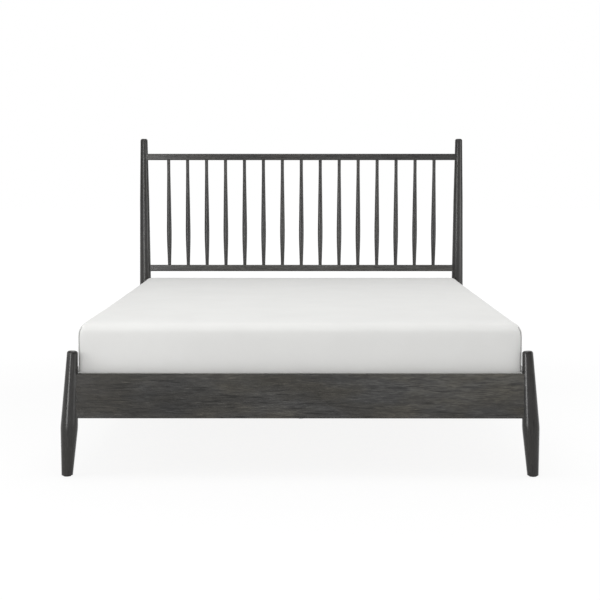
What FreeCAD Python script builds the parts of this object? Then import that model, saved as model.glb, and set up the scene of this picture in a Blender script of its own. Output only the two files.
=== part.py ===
"""Platform bed with turned posts, a spindle headboard, a slatted deck and a mattress.

The foot of the bed is at -Y, the headboard at +Y and the floor at Z = 0. The origin lies on the floor
under the middle of the whole bed. Millimetres throughout.
"""
import FreeCAD, Part
import Sketcher
import math
import os

SPINDLE_COUNT = 15
SLAT_COUNT = 13
CLEAT_SCREWS = 4

# How softly the tapers of a spindle meet: a share of the curve that would take a whole taper
SWELL_SHARE = 0.344

# The mattress's upright outline: shares of its edges, sides and crown, and angles round its top edge
EDGE_SHARE = 0.3
SIDE_SHARE = 0.6
EDGE_ANGLES = (45, 84)
CROWN_SHARES = (0.35, 1)

# Driving dimensions, in millimetres and degrees
SIZES = {
    # Mattress and the room around it
    "mattress_width": 1524,
    "mattress_length": 2032,
    "mattress_thickness": 182,
    "mattress_side_gap": 3,
    "mattress_foot_gap": 10,
    "mattress_head_gap": 27,
    "mattress_rest_gap": 0.3,
    "mattress_corner_radius": 70,
    "mattress_top_round": 46,
    "mattress_bottom_round": 16,
    "mattress_seam_tuck": 2.5,
    "mattress_side_draw": 3,
    "mattress_crown": 6,
    "mattress_crown_run": 260,
    "mattress_border": 32,
    "mattress_base_pad": 6,
    "mattress_top_pad": 12,
    # Bed rails: footboard, sides and the hidden board at the head
    "rail_bottom": 202,
    "rail_height": 154,
    "rail_edge_radius": 3,
    "side_rail_thickness": 22,
    "footboard_thickness": 22,
    "footboard_set_forward": 3,
    "base_rail_thickness": 22,
    "base_rail_set_back": 3,
    # Joints between rails and posts
    "glue_gap": 0.15,
    "housing_depth": 3,
    "tenon_thickness": 10,
    "tenon_shoulder": 20,
    "tenon_length": 20,
    "cut_overrun": 60,
    # Foot posts, turned and splayed outwards
    "foot_post_height": 434,
    "foot_post_set_out": 34.8,
    "foot_post_splay": 3.3,
    "foot_post_foot_radius": 18.9,
    "foot_post_wide_radius": 29.8,
    "foot_post_wide_height": 169,
    "foot_post_top_radius": 18.3,
    "foot_post_top_round": 9,
    "side_rail_seat_at_foot": 13,
    "post_break_half": 12,
    # Headboard posts, turned and upright
    "head_post_height": 1196,
    "head_post_set_in": 3,
    "head_post_foot_radius": 20.3,
    "head_post_wide_radius": 31.2,
    "head_post_wide_height": 169,
    "head_post_bend_height": 900,
    "head_post_bend_radius": 22.7,
    "head_post_top_radius": 17.1,
    "head_post_top_round": 9,
    "side_rail_seat_at_head": 12,
    # Headboard rails and spindles
    "head_rail_height": 31,
    "head_rail_depth": 20,
    "head_rail_edge_radius": 5,
    "head_tenon_thickness": 8,
    "head_tenon_shoulder": 6,
    "head_tenon_length": 14,
    "top_rail_drop": 72,
    "spindle_rail_bottom": 553.5,
    "spindle_foot_radius": 8,
    "spindle_neck_radius": 7.85,
    "spindle_neck_length": 60,
    "spindle_swell_radius": 12,
    "spindle_swell_height": 161,
    "spindle_tenon_radius": 5.5,
    "spindle_tenon_length": 16,
    "spindle_tenon_gap": 0.1,
    # Slats and the ledgers under them
    "slat_width": 90,
    "slat_thickness": 18,
    "slat_edge_radius": 3,
    "slat_end_gap": 3,
    "slat_foot_margin": 22,
    "slat_head_margin": 38,
    "deck_recess": 10,
    "cleat_thickness": 25,
    "cleat_height": 30,
    "cleat_foot_margin": 20,
    "cleat_post_gap": 3.6,
    "cleat_edge_radius": 2,
    "tape_width": 30,
    "tape_thickness": 1.2,
    "tape_place": 480,
    "tape_end_margin": 8,
    # Centre beam, its hangers and its leg
    "beam_width": 40,
    "beam_height": 60,
    "beam_edge_radius": 3,
    "hanger_sheet": 3,
    "hanger_reach": 40,
    "hanger_flange": 24,
    "hanger_height": 52,
    "hanger_gap": 0.3,
    "leg_width": 40,
    "leg_edge_radius": 5,
    "leg_place": 1120,
    "leg_bolt_radius": 4,
    "leg_bolt_length": 70,
    "insert_radius": 6,
    "insert_length": 20,
    "insert_flange_radius": 11,
    "insert_flange_thickness": 1.5,
    "levelling_stem_radius": 4,
    "levelling_stem_length": 40,
    "levelling_pad_radius": 17,
    "levelling_pad_height": 8,
    "levelling_pad_chamfer": 2,
    "thread_gap": 0.05,
    "stop_gap": 0.3,
    # Corner brackets at the foot and bolts at the head
    "bracket_leg": 60,
    "bracket_web": 22,
    "bracket_sheet": 3,
    "bracket_cleat_gap": 8,
    "bracket_bottom": 12,
    "bracket_hole_out": 42,
    "bracket_hole_margin": 16,
    "bracket_bolt_radius": 3,
    "bracket_bolt_length": 14,
    "bracket_head_radius": 5.5,
    "bracket_head_height": 3.3,
    "head_bolt_radius": 4,
    "head_bolt_grip": 58,
    "head_bolt_head_radius": 8,
    "head_bolt_head_height": 5,
    "head_bolt_sink": 3,
    "head_bolt_pitch": 78,
    "nut_radius": 5,
    "nut_length": 17,
    "nut_place": 40,
    "bolt_gap": 0.2,
    # Wood screws and floor glides
    "screw_radius": 2,
    "screw_head_radius": 4,
    "screw_head_height": 2.4,
    "screw_length": 34,
    "screw_gap": 0.1,
    "pan_head_radius": 4.2,
    "pan_head_height": 2.4,
    "pan_screw_length": 16,
    "glide_radius": 14,
    "glide_height": 4,
    "glide_chamfer": 1,
    "glide_nail_radius": 1.3,
    "glide_nail_length": 15,
}

# Places and sizes worked out from the driving dimensions
LAYOUT = {
    "side_rail_inner": "Sizes.mattress_width / 2 + Sizes.mattress_side_gap",
    "side_rail_middle": "Layout.side_rail_inner + Sizes.side_rail_thickness / 2",
    "rail_top": "Sizes.rail_bottom + Sizes.rail_height",
    "rail_middle": "Sizes.rail_bottom + Sizes.rail_height / 2",
    "footboard_inner": "Sizes.footboard_thickness / 2 - Sizes.footboard_set_forward",
    "base_rail_inner": "Sizes.base_rail_thickness / 2 - Sizes.base_rail_set_back",
    "post_span": "Sizes.mattress_length + Sizes.mattress_foot_gap + Sizes.mattress_head_gap"
    " + Layout.footboard_inner + Layout.base_rail_inner",
    "foot_y": "-(Layout.post_span + Sizes.head_post_wide_radius - Sizes.foot_post_wide_radius) / 2",
    "head_y": "Layout.foot_y + Layout.post_span",
    "footboard_y": "Layout.foot_y - Sizes.footboard_set_forward",
    "base_rail_y": "Layout.head_y + Sizes.base_rail_set_back",
    "deck_top": "Layout.rail_top - Sizes.deck_recess",
    "slat_bottom": "Layout.deck_top - Sizes.slat_thickness",
    "slat_first": "Layout.foot_y + Sizes.slat_foot_margin + Sizes.slat_width / 2",
    "slat_last": "Layout.head_y - Sizes.slat_head_margin - Sizes.slat_width / 2",
    "slat_length": "2 * (Layout.side_rail_inner - Sizes.slat_end_gap)",
    "slat_screw_x": "Layout.side_rail_inner - Sizes.cleat_thickness / 2",
    "cleat_first": "Layout.foot_y + Sizes.cleat_foot_margin",
    "cleat_length": "Layout.post_span - Sizes.cleat_foot_margin"
    " - Sizes.head_post_wide_radius - Sizes.cleat_post_gap",
    "cleat_middle_z": "Layout.slat_bottom - Sizes.cleat_height / 2",
    # Foot posts: place and half-width of the post beside the footboard's top edge
    "foot_post_floor_x": "Layout.side_rail_inner + Sizes.foot_post_set_out",
    "foot_glide_x": "Layout.foot_post_floor_x - Sizes.glide_height * tan(Sizes.foot_post_splay)",
    "foot_lower_slope": "(Sizes.foot_post_wide_radius - Sizes.foot_post_foot_radius)"
    " / Sizes.foot_post_wide_height",
    "foot_upper_slope": "(Sizes.foot_post_wide_radius - Sizes.foot_post_top_radius)"
    " / (Sizes.foot_post_height - Sizes.foot_post_wide_height)",
    "foot_break_curve": "Sizes.post_break_half"
    " / tan((atan(Layout.foot_lower_slope) + atan(Layout.foot_upper_slope)) / 2)",
    "foot_radius_low": "Sizes.foot_post_wide_radius"
    " - (Sizes.rail_bottom - Sizes.foot_post_wide_height) * Layout.foot_upper_slope",
    "footboard_reach": "Sizes.footboard_thickness / 2 + Sizes.footboard_set_forward",
    "footboard_shoulder": "Layout.foot_post_floor_x - Sizes.rail_bottom * tan(Sizes.foot_post_splay)"
    " - sqrt(pow(Layout.foot_radius_low; 2) - pow(Layout.footboard_reach; 2)) + Sizes.housing_depth",
    "side_rail_first": "Layout.foot_y + Sizes.side_rail_seat_at_foot",
    "side_rail_last": "Layout.head_y - Sizes.side_rail_seat_at_head",
    "side_rail_length": "Layout.side_rail_last - Layout.side_rail_first",
    # Headboard posts: the radius where each rail meets them
    "head_post_x": "Layout.side_rail_inner - Sizes.head_post_set_in",
    "head_lower_slope": "(Sizes.head_post_wide_radius - Sizes.head_post_foot_radius)"
    " / Sizes.head_post_wide_height",
    "head_upper_slope": "(Sizes.head_post_wide_radius - Sizes.head_post_bend_radius)"
    " / (Sizes.head_post_bend_height - Sizes.head_post_wide_height)",
    "head_break_curve": "Sizes.post_break_half"
    " / tan((atan(Layout.head_lower_slope) + atan(Layout.head_upper_slope)) / 2)",
    "head_top_slope": "(Sizes.head_post_bend_radius - Sizes.head_post_top_radius)"
    " / (Sizes.head_post_height - Sizes.head_post_bend_height)",
    "head_radius_base": "Sizes.head_post_wide_radius"
    " - (Layout.rail_top - Sizes.head_post_wide_height) * Layout.head_upper_slope",
    "head_radius_spindle": "Sizes.head_post_wide_radius"
    " - (Layout.spindle_rail_top - Sizes.head_post_wide_height) * Layout.head_upper_slope",
    "head_radius_top": "Sizes.head_post_bend_radius"
    " - (Layout.top_rail_top - Sizes.head_post_bend_height) * Layout.head_top_slope",
    "base_rail_reach": "Sizes.base_rail_thickness / 2 + Sizes.base_rail_set_back",
    "base_rail_seat": "sqrt(pow(Layout.head_radius_base; 2) - pow(Layout.base_rail_reach; 2))"
    " - Sizes.housing_depth",
    "spindle_rail_seat": "sqrt(pow(Layout.head_radius_spindle; 2) - pow(Sizes.head_rail_depth / 2; 2))"
    " - Sizes.housing_depth",
    "top_rail_seat": "sqrt(pow(Layout.head_radius_top; 2) - pow(Sizes.head_rail_depth / 2; 2))"
    " - Sizes.housing_depth",
    "base_rail_shoulder": "Layout.head_post_x - Layout.base_rail_seat",
    "spindle_rail_shoulder": "Layout.head_post_x - Layout.spindle_rail_seat",
    "top_rail_shoulder": "Layout.head_post_x - Layout.top_rail_seat",
    "head_bolt_x": "Layout.side_rail_middle - Layout.head_post_x",
    "head_bolt_seat": "sqrt(pow(Layout.head_radius_base; 2)"
    " - pow(Layout.head_bolt_x + Sizes.head_bolt_head_radius; 2)) - Sizes.head_bolt_sink",
    "head_bolt_end": "Sizes.side_rail_seat_at_head + Sizes.head_bolt_grip",
    "nut_y": "Layout.head_y - Sizes.side_rail_seat_at_head - Sizes.nut_place",
    # Spindles, spaced evenly between the posts and measured up from the spindle rail
    "spindle_pitch": "2 * (Layout.head_post_x - Layout.head_radius_spindle)"
    f" / {SPINDLE_COUNT + 1}",
    "spindle_rail_top": "Sizes.spindle_rail_bottom + Sizes.head_rail_height",
    "top_rail_top": "Sizes.head_post_height - Sizes.top_rail_drop",
    "top_rail_bottom": "Layout.top_rail_top - Sizes.head_rail_height",
    "spindle_length": "Layout.top_rail_bottom - Layout.spindle_rail_top",
    "spindle_neck_start": "Layout.spindle_length - Sizes.spindle_neck_length",
    "spindle_upper_rise": "Layout.spindle_neck_start - Sizes.spindle_swell_height",
    "spindle_lower_swell": "Sizes.spindle_swell_radius - Sizes.spindle_foot_radius",
    "spindle_upper_swell": "Sizes.spindle_swell_radius - Sizes.spindle_neck_radius",
    "spindle_swell_curve": f"{SWELL_SHARE} * min(pow(Sizes.spindle_swell_height; 2)"
    " / Layout.spindle_lower_swell; pow(Layout.spindle_upper_rise; 2) / Layout.spindle_upper_swell)",
    "spindle_lower_run": "Sizes.spindle_swell_height - sqrt(pow(Sizes.spindle_swell_height; 2)"
    " - 2 * Layout.spindle_swell_curve * Layout.spindle_lower_swell)",
    "spindle_upper_run": "Layout.spindle_upper_rise - sqrt(pow(Layout.spindle_upper_rise; 2)"
    " - 2 * Layout.spindle_swell_curve * Layout.spindle_upper_swell)",
    # Centre beam and leg
    "beam_bottom": "Layout.slat_bottom - Sizes.beam_height",
    "beam_first": "Layout.foot_y + Layout.footboard_inner + Sizes.hanger_sheet + Sizes.hanger_gap",
    "beam_last": "Layout.head_y - Layout.base_rail_inner - Sizes.hanger_sheet - Sizes.hanger_gap",
    "hanger_half": "Sizes.beam_width / 2 + Sizes.hanger_gap + Sizes.hanger_sheet",
    "hanger_screw_x": "Layout.hanger_half + Sizes.hanger_flange / 2",
    "hanger_bottom": "Layout.beam_bottom - Sizes.hanger_gap - Sizes.hanger_sheet",
    "leg_y": "Layout.foot_y + Sizes.leg_place",
    "leg_bottom": "Sizes.levelling_pad_height + Sizes.stop_gap + Sizes.insert_flange_thickness",
    "leg_height": "Layout.beam_bottom - Layout.leg_bottom",
    # Corner brackets
    "bracket_base": "Sizes.rail_bottom + Sizes.bracket_bottom",
    "bracket_top": "Layout.slat_bottom - Sizes.cleat_height - Sizes.bracket_cleat_gap",
    "bracket_height": "Layout.bracket_top - Layout.bracket_base",
    "bracket_corner_x": "Layout.side_rail_inner",
    "bracket_corner_y": "Layout.foot_y + Layout.footboard_inner",
    # Mattress, measured up from its underside
    "mattress_y": "Layout.foot_y + Layout.footboard_inner + Sizes.mattress_foot_gap"
    " + Sizes.mattress_length / 2",
    "mattress_bottom": "Layout.deck_top + Sizes.mattress_rest_gap",
    "mattress_shoulder": "Sizes.mattress_thickness - Sizes.mattress_crown - Sizes.mattress_top_round",
    "mattress_spring_height": "Sizes.mattress_thickness - Sizes.mattress_crown"
    " - Sizes.mattress_base_pad - Sizes.mattress_top_pad",
}

doc = FreeCAD.newDocument("platform_bed")
sizes = doc.addObject("Spreadsheet::Sheet", "Sizes")
for row, (alias, value) in enumerate(SIZES.items(), 1):
    sizes.set(f"A{row}", alias)
    sizes.set(f"B{row}", str(value))
    sizes.setAlias(f"B{row}", alias)
layout = doc.addObject("Spreadsheet::Sheet", "Layout")
for row, alias in enumerate(LAYOUT, 1):
    layout.set(f"A{row}", alias)
    layout.setAlias(f"B{row}", alias)
for row, formula in enumerate(LAYOUT.values(), 1):
    layout.set(f"B{row}", f"={formula}")
doc.recompute()

nodes = []


def worked_out(formula):
    """The present value of a formula."""
    return float(sizes.evalExpression(formula))


def bind(target, **formulas):
    """Ties properties to formulas; two underscores in a name stand for a dot."""
    for name, formula in formulas.items():
        target.setExpression(name.replace("__", "."), formula)


def place(target, x="0", y="0", z="0"):
    bind(target, Placement__Base__x=x, Placement__Base__y=y, Placement__Base__z=z)


def keep(target, label):
    """Counts an object as a finished sub-part under its own name."""
    target.Label = label
    nodes.append(target)
    return target


def new_body(name, x="0", y="0", z="0"):
    body = doc.addObject("PartDesign::Body", name)
    place(body, x, y, z)
    return body


def new_sketch(body, name, role, offset="0"):
    """A sketch on one of the body's own origin planes, moved along that plane's normal."""
    sketch = body.newObject("Sketcher::SketchObject", name)
    plane = next(feature for feature in body.Origin.OriginFeatures if feature.Role == role)
    sketch.AttachmentSupport = (plane, [""])
    sketch.MapMode = "FlatFace"
    bind(sketch, AttachmentOffset__Base__z=offset)
    return sketch


def fix_point(sketch, piece, end, x, y):
    """Ties a point of a sketch to formulas for its two coordinates."""
    for kind, formula in (("DistanceX", x), ("DistanceY", y)):
        value = worked_out(formula)
        if value < 0:
            rule = Sketcher.Constraint(kind, piece, end, -1, 1, -value)
            formula = f"-({formula})"
        else:
            rule = Sketcher.Constraint(kind, -1, 1, piece, end, value)
        index = sketch.addConstraint(rule)
        if formula != "0":
            sketch.setExpression(f"Constraints[{index}]", formula)


def outline(sketch, points):
    """A closed outline. A point is (x, y), or (x, y, radius, turn) where an arc leads up to it.

    A turn of 1 bends left on the way and -1 bends right; arcs stay under a half circle.
    """
    corners = [FreeCAD.Vector(worked_out(p[0]), worked_out(p[1]), 0) for p in points]
    ends = []
    for place_in_list, point in enumerate(points):
        start, stop = corners[place_in_list - 1], corners[place_in_list]
        if len(point) == 2:
            piece = sketch.addGeometry(Part.LineSegment(start, stop))
            ends.append((piece, 1, 2))
            continue
        radius, turn = worked_out(point[2]), point[3]
        chord = stop - start
        left = FreeCAD.Vector(-chord.y, chord.x, 0).normalize()
        reach = math.sqrt(max(radius**2 - chord.Length**2 / 4, 0))
        centre = (start + stop) / 2 + left * (turn * reach)
        low, high = (start, stop) if turn > 0 else (stop, start)
        angles = [math.atan2(p.y - centre.y, p.x - centre.x) for p in (low, high)]
        circle = Part.Circle(centre, FreeCAD.Vector(0, 0, 1), radius)
        piece = sketch.addGeometry(Part.ArcOfCircle(circle, *angles))
        ends.append((piece, 1, 2) if turn > 0 else (piece, 2, 1))
    for place_in_list, point in enumerate(points):
        before = ends[place_in_list]
        after = ends[(place_in_list + 1) % len(ends)]
        sketch.addConstraint(Sketcher.Constraint("Coincident", before[0], before[2], after[0], after[1]))
        fix_point(sketch, before[0], before[2], point[0], point[1])
        if len(point) == 4:
            index = sketch.addConstraint(Sketcher.Constraint("Radius", before[0], worked_out(point[2])))
            sketch.setExpression(f"Constraints[{index}]", point[2])


def rectangle(sketch, left, bottom, right, top):
    outline(sketch, [(left, bottom), (right, bottom), (right, top), (left, top)])


def rounded_rectangle(sketch, left, bottom, right, top, radius):
    """A rectangle with quarter-round corners."""
    outline(
        sketch,
        [
            (f"{left} + {radius}", bottom, radius, 1),
            (f"{right} - {radius}", bottom),
            (right, f"{bottom} + {radius}", radius, 1),
            (right, f"{top} - {radius}"),
            (f"{right} - {radius}", top, radius, 1),
            (f"{left} + {radius}", top),
            (left, f"{top} - {radius}", radius, 1),
            (left, f"{bottom} + {radius}"),
        ],
    )


def circles(sketch, radius, centres):
    for x, y in centres:
        middle = FreeCAD.Vector(worked_out(x), worked_out(y), 0)
        circle = Part.Circle(middle, FreeCAD.Vector(0, 0, 1), worked_out(radius))
        piece = sketch.addGeometry(circle)
        fix_point(sketch, piece, 3, x, y)
        index = sketch.addConstraint(Sketcher.Constraint("Radius", piece, worked_out(radius)))
        sketch.setExpression(f"Constraints[{index}]", radius)


def pad(body, sketch, length, backwards=False):
    feature = body.newObject("PartDesign::Pad", f"{sketch.Name}_pad")
    feature.Profile = sketch
    feature.Reversed = backwards
    bind(feature, Length=length)
    sketch.Visibility = False
    return feature


def pocket(body, sketch, depth=None, backwards=False):
    """Cuts against the sketch plane's normal, or along it when backwards; through all without a depth."""
    doc.recompute()
    before = body.Shape.Volume
    feature = body.newObject("PartDesign::Pocket", f"{sketch.Name}_cut")
    feature.Profile = sketch
    feature.Reversed = backwards
    if depth is None:
        feature.Type = "ThroughAll"
    else:
        bind(feature, Length=depth)
    doc.recompute()
    if not body.Shape.Volume < before:
        raise RuntimeError(f"{body.Name}: {sketch.Name} cuts nothing")
    return feature


def turned(body, sketch):
    """A solid turned about the sketch's own upright axis."""
    feature = body.newObject("PartDesign::Revolution", f"{sketch.Name}_turned")
    feature.Profile = sketch
    feature.ReferenceAxis = (sketch, ["V_Axis"])
    return feature


def round_top(body, feature, radius):
    """Rounds the rim at the top of a turned post."""
    doc.recompute()
    edges = enumerate(feature.Shape.Edges, 1)
    rims = [(edge.BoundBox.ZMax, i) for i, edge in edges if edge.isClosed()]
    fillet = body.newObject("PartDesign::Fillet", f"{feature.Name}_round")
    fillet.Base = (feature, [f"Edge{max(rims)[1]}"])
    bind(fillet, Radius=radius)


def mirrored(source, label):
    """The same piece for the other side of the bed."""
    other = doc.addObject("Part::Mirroring", label)
    other.Source = source
    other.Normal = FreeCAD.Vector(1, 0, 0)
    return keep(other, label)


def group(label, master, places):
    """Copies of one fastener, each a solid of its own, as one sub-part."""
    copies = []
    for number, (x, y, z, turn) in enumerate(places, 1):
        copy = doc.addObject("App::Link", f"{label}_{number}")
        copy.LinkedObject = master
        copy.LinkPlacement = FreeCAD.Placement(FreeCAD.Vector(0, 0, 0), turn)
        bind(copy, LinkPlacement__Base__x=x, LinkPlacement__Base__y=y, LinkPlacement__Base__z=z)
        copies.append(copy)
    bundle = doc.addObject("Part::Compound", label)
    bundle.Links = copies
    return keep(bundle, label)


# Turns that point a fastener's +Z the way its head faces
UPRIGHT = FreeCAD.Rotation()
HALF_TURN = FreeCAD.Rotation(FreeCAD.Vector(0, 0, 1), 180)
TO_LEFT = FreeCAD.Rotation(FreeCAD.Vector(0, 1, 0), -90)
TO_RIGHT = FreeCAD.Rotation(FreeCAD.Vector(0, 1, 0), 90)
TO_HEAD = FreeCAD.Rotation(FreeCAD.Vector(1, 0, 0), -90)
TO_FOOT = FreeCAD.Rotation(FreeCAD.Vector(1, 0, 0), 90)
SIDES = ((1, TO_LEFT), (-1, TO_RIGHT))

# Sizes that several pieces share
BED_TENON = ("Sizes.tenon_thickness", "Sizes.tenon_shoulder", "Sizes.tenon_length")
HEAD_TENON = ("Sizes.head_tenon_thickness", "Sizes.head_tenon_shoulder", "Sizes.head_tenon_length")
SCREW_HOLE = "Sizes.screw_radius + Sizes.screw_gap"
SCREW_SEAT = "Sizes.screw_head_radius + Sizes.screw_gap"
PAN_PILOT = "Sizes.pan_screw_length - Sizes.hanger_sheet + Sizes.screw_gap"
BRACKET_PILOT = "Sizes.bracket_bolt_length - Sizes.bracket_sheet + Sizes.bolt_gap"

# The slim headboard rails, with their undersides and tops
HEAD_RAILS = {
    "spindle_rail": ("Sizes.spindle_rail_bottom", "Layout.spindle_rail_top"),
    "top_rail": ("Layout.top_rail_bottom", "Layout.top_rail_top"),
}


def head_bolt_heights():
    """The two levels of the bolts that join each side rail to its head post."""
    return [f"Layout.rail_middle {sign} Sizes.head_bolt_pitch / 2" for sign in "-+"]


def bracket_bolt_heights():
    margin = "Sizes.bracket_hole_margin"
    return [f"Layout.bracket_base + {margin}", f"Layout.bracket_top - {margin}"]


def cleat_screw_places():
    """Places of the cleat screws along the cleat, measured from its foot end."""
    return [f"Layout.cleat_length * {2 * i + 1} / {2 * CLEAT_SCREWS}" for i in range(CLEAT_SCREWS)]


def spindle_place(number):
    return f"Layout.spindle_pitch * {number - (SPINDLE_COUNT - 1) / 2:g}"


def slat_place(number):
    return f"Layout.slat_first + (Layout.slat_last - Layout.slat_first) * {number} / {SLAT_COUNT - 1}"


def rail_mortise(body, name, seat, y_middle, thickness, span, edge, tenon):
    """Cuts a post for a rail that comes in from the bed's middle: a housing for its end, then a mortise."""
    gap = "Sizes.glue_gap"
    bottom, top = span
    tenon_thickness, tenon_shoulder, tenon_length = tenon
    housing = new_sketch(body, f"{name}_housing", "YZ_Plane", f"{seat} + {gap}")
    half = f"{thickness} / 2 + {gap}"
    rounded_rectangle(
        housing,
        f"{y_middle} - ({half})",
        f"{bottom} - {gap}",
        f"{y_middle} + {half}",
        f"{top} + {gap}",
        f"({edge} + {gap})",
    )
    pocket(body, housing)
    mortise = new_sketch(body, f"{name}_mortise", "YZ_Plane", f"{seat} + {tenon_length} + {gap}")
    half = f"{tenon_thickness} / 2 + {gap}"
    rectangle(
        mortise,
        f"{y_middle} - ({half})",
        f"{bottom} + {tenon_shoulder} - {gap}",
        f"{y_middle} + {half}",
        f"{top} - {tenon_shoulder} + {gap}",
    )
    pocket(body, mortise, f"{tenon_length} + Sizes.cut_overrun")


def side_rail_housing(body, seat, x_inner, at_head):
    """Cuts the shallow seat in a post for the end of a side rail."""
    gap = "Sizes.glue_gap"
    sketch = new_sketch(body, "side_rail_housing", "XZ_Plane", seat)
    rounded_rectangle(
        sketch,
        f"{x_inner} - {gap}",
        f"Sizes.rail_bottom - {gap}",
        f"{x_inner} + Sizes.side_rail_thickness + {gap}",
        f"Layout.rail_top + {gap}",
        f"(Sizes.rail_edge_radius + {gap})",
    )
    pocket(body, sketch, "Sizes.cut_overrun", backwards=at_head)


def post_profile(post, start, curve):
    """Half outline of a turned post up to its widest part, from a point below the floor glide."""
    wide, height = f"Sizes.{post}_post_wide_radius", f"Sizes.{post}_post_wide_height"
    lower, upper = f"Layout.{post}_lower_slope", f"Layout.{post}_upper_slope"
    return [
        ("0", start),
        (f"Sizes.{post}_post_foot_radius", start),
        (f"{wide} - Sizes.post_break_half * {lower}", f"{height} - Sizes.post_break_half"),
        (f"{wide} - Sizes.post_break_half * {upper}", f"{height} + Sizes.post_break_half", curve, 1),
    ]


def glide_hole(body, x):
    sketch = new_sketch(body, "glide_hole", "XY_Plane", "Sizes.glide_height")
    circles(sketch, "Sizes.glide_nail_radius + Sizes.screw_gap", [(x, "0")])
    pocket(body, sketch, "Sizes.glide_nail_length + Sizes.screw_gap", backwards=True)


def foot_posts():
    """Short splayed posts, cut flat at the floor and housed for the footboard and the side rail."""
    body = new_body("foot_post_right", y="Layout.foot_y")
    profile = new_sketch(body, "foot_post_profile", "XZ_Plane")
    # A small turn gives the bound angle below its axis, the sketch's normal
    profile.AttachmentOffset = FreeCAD.Placement(FreeCAD.Vector(), FreeCAD.Rotation(1, 0, 0))
    bind(
        profile,
        AttachmentOffset__Base__x="Layout.foot_post_floor_x",
        AttachmentOffset__Rotation__Angle="Sizes.foot_post_splay",
    )
    outline(
        profile,
        post_profile("foot", "-Sizes.glide_height", "Layout.foot_break_curve")
        + [("Sizes.foot_post_top_radius", "Sizes.foot_post_height"), ("0", "Sizes.foot_post_height")],
    )
    round_top(body, turned(body, profile), "Sizes.foot_post_top_round")
    sole = new_sketch(body, "foot_post_sole", "XY_Plane", "Sizes.glide_height")
    rectangle(
        sole,
        "Layout.foot_post_floor_x - Sizes.cut_overrun",
        "-Sizes.cut_overrun",
        "Layout.foot_post_floor_x + Sizes.cut_overrun",
        "Sizes.cut_overrun",
    )
    pocket(body, sole)
    rail_mortise(
        body,
        "footboard",
        "Layout.footboard_shoulder",
        "-Sizes.footboard_set_forward",
        "Sizes.footboard_thickness",
        ("Sizes.rail_bottom", "Layout.rail_top"),
        "Sizes.rail_edge_radius",
        BED_TENON,
    )
    seat = "-(Sizes.side_rail_seat_at_foot - Sizes.glue_gap)"
    side_rail_housing(body, seat, "Layout.side_rail_inner", at_head=False)
    glide_hole(body, "Layout.foot_glide_x")
    keep(body, "foot_post_right")
    mirrored(body, "foot_post_left")


def headboard_posts():
    """Tall upright posts, with a seat for each headboard rail and bolt holes from behind."""
    body = new_body("headboard_post_right", "Layout.head_post_x", "Layout.head_y")
    profile = new_sketch(body, "head_post_profile", "XZ_Plane")
    outline(
        profile,
        post_profile("head", "Sizes.glide_height", "Layout.head_break_curve")
        + [
            ("Sizes.head_post_bend_radius", "Sizes.head_post_bend_height"),
            ("Sizes.head_post_top_radius", "Sizes.head_post_height"),
            ("0", "Sizes.head_post_height"),
        ],
    )
    round_top(body, turned(body, profile), "Sizes.head_post_top_round")
    rail_mortise(
        body,
        "base_rail",
        "-Layout.base_rail_seat",
        "Sizes.base_rail_set_back",
        "Sizes.base_rail_thickness",
        ("Sizes.rail_bottom", "Layout.rail_top"),
        "Sizes.rail_edge_radius",
        BED_TENON,
    )
    for name, span in HEAD_RAILS.items():
        rail_mortise(
            body,
            name,
            f"-Layout.{name}_seat",
            "0",
            "Sizes.head_rail_depth",
            span,
            "Sizes.head_rail_edge_radius",
            HEAD_TENON,
        )
    seat = "Sizes.side_rail_seat_at_head - Sizes.glue_gap"
    side_rail_housing(body, seat, "Layout.side_rail_inner - Layout.head_post_x", at_head=True)
    centres = [("Layout.head_bolt_x", height) for height in head_bolt_heights()]
    shanks = new_sketch(body, "bolt_shanks", "XZ_Plane", "Sizes.cut_overrun")
    circles(shanks, "Sizes.head_bolt_radius + Sizes.bolt_gap", centres)
    pocket(body, shanks)
    heads = new_sketch(body, "bolt_heads", "XZ_Plane", "-Layout.head_bolt_seat")
    circles(heads, "Sizes.head_bolt_head_radius + Sizes.bolt_gap", centres)
    pocket(body, heads)
    glide_hole(body, "0")
    keep(body, "headboard_post_right")
    mirrored(body, "headboard_post_left")


def tenoned_rail(name, y, thickness, span, edge, shoulder, tenon):
    """A rail along X with eased edges and a tenon at each end."""
    tenon_thickness, tenon_shoulder, tenon_length = tenon
    bottom, top = span
    body = new_body(name, y=y)
    section = new_sketch(body, f"{name}_section", "YZ_Plane", f"-{shoulder}")
    rounded_rectangle(section, f"-{thickness} / 2", bottom, f"{thickness} / 2", top, edge)
    pad(body, section, f"2 * {shoulder}")
    tenons = new_sketch(body, f"{name}_tenons", "YZ_Plane", f"-({shoulder} + {tenon_length})")
    rectangle(
        tenons,
        f"-{tenon_thickness} / 2",
        f"{bottom} + {tenon_shoulder}",
        f"{tenon_thickness} / 2",
        f"{top} - {tenon_shoulder}",
    )
    pad(body, tenons, f"2 * ({shoulder} + {tenon_length})")
    doc.recompute()
    return keep(body, name)


def footboard():
    """The board between the foot posts, drilled for the beam hanger and the corner brackets."""
    body = tenoned_rail(
        "footboard_rail",
        "Layout.footboard_y",
        "Sizes.footboard_thickness",
        ("Sizes.rail_bottom", "Layout.rail_top"),
        "Sizes.rail_edge_radius",
        "Layout.footboard_shoulder",
        BED_TENON,
    )
    inner = "-Sizes.footboard_thickness / 2"
    hanger = new_sketch(body, "hanger_pilots", "XZ_Plane", inner)
    circles(hanger, SCREW_HOLE, hanger_screw_centres())
    pocket(body, hanger, PAN_PILOT, backwards=True)
    bracket = new_sketch(body, "bracket_pilots", "XZ_Plane", inner)
    out = "(Layout.bracket_corner_x - Sizes.bracket_hole_out)"
    centres = [(f"{sign}{out}", height) for sign in ("", "-") for height in bracket_bolt_heights()]
    circles(bracket, "Sizes.bracket_bolt_radius + Sizes.bolt_gap", centres)
    pocket(body, bracket, BRACKET_PILOT, backwards=True)


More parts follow.
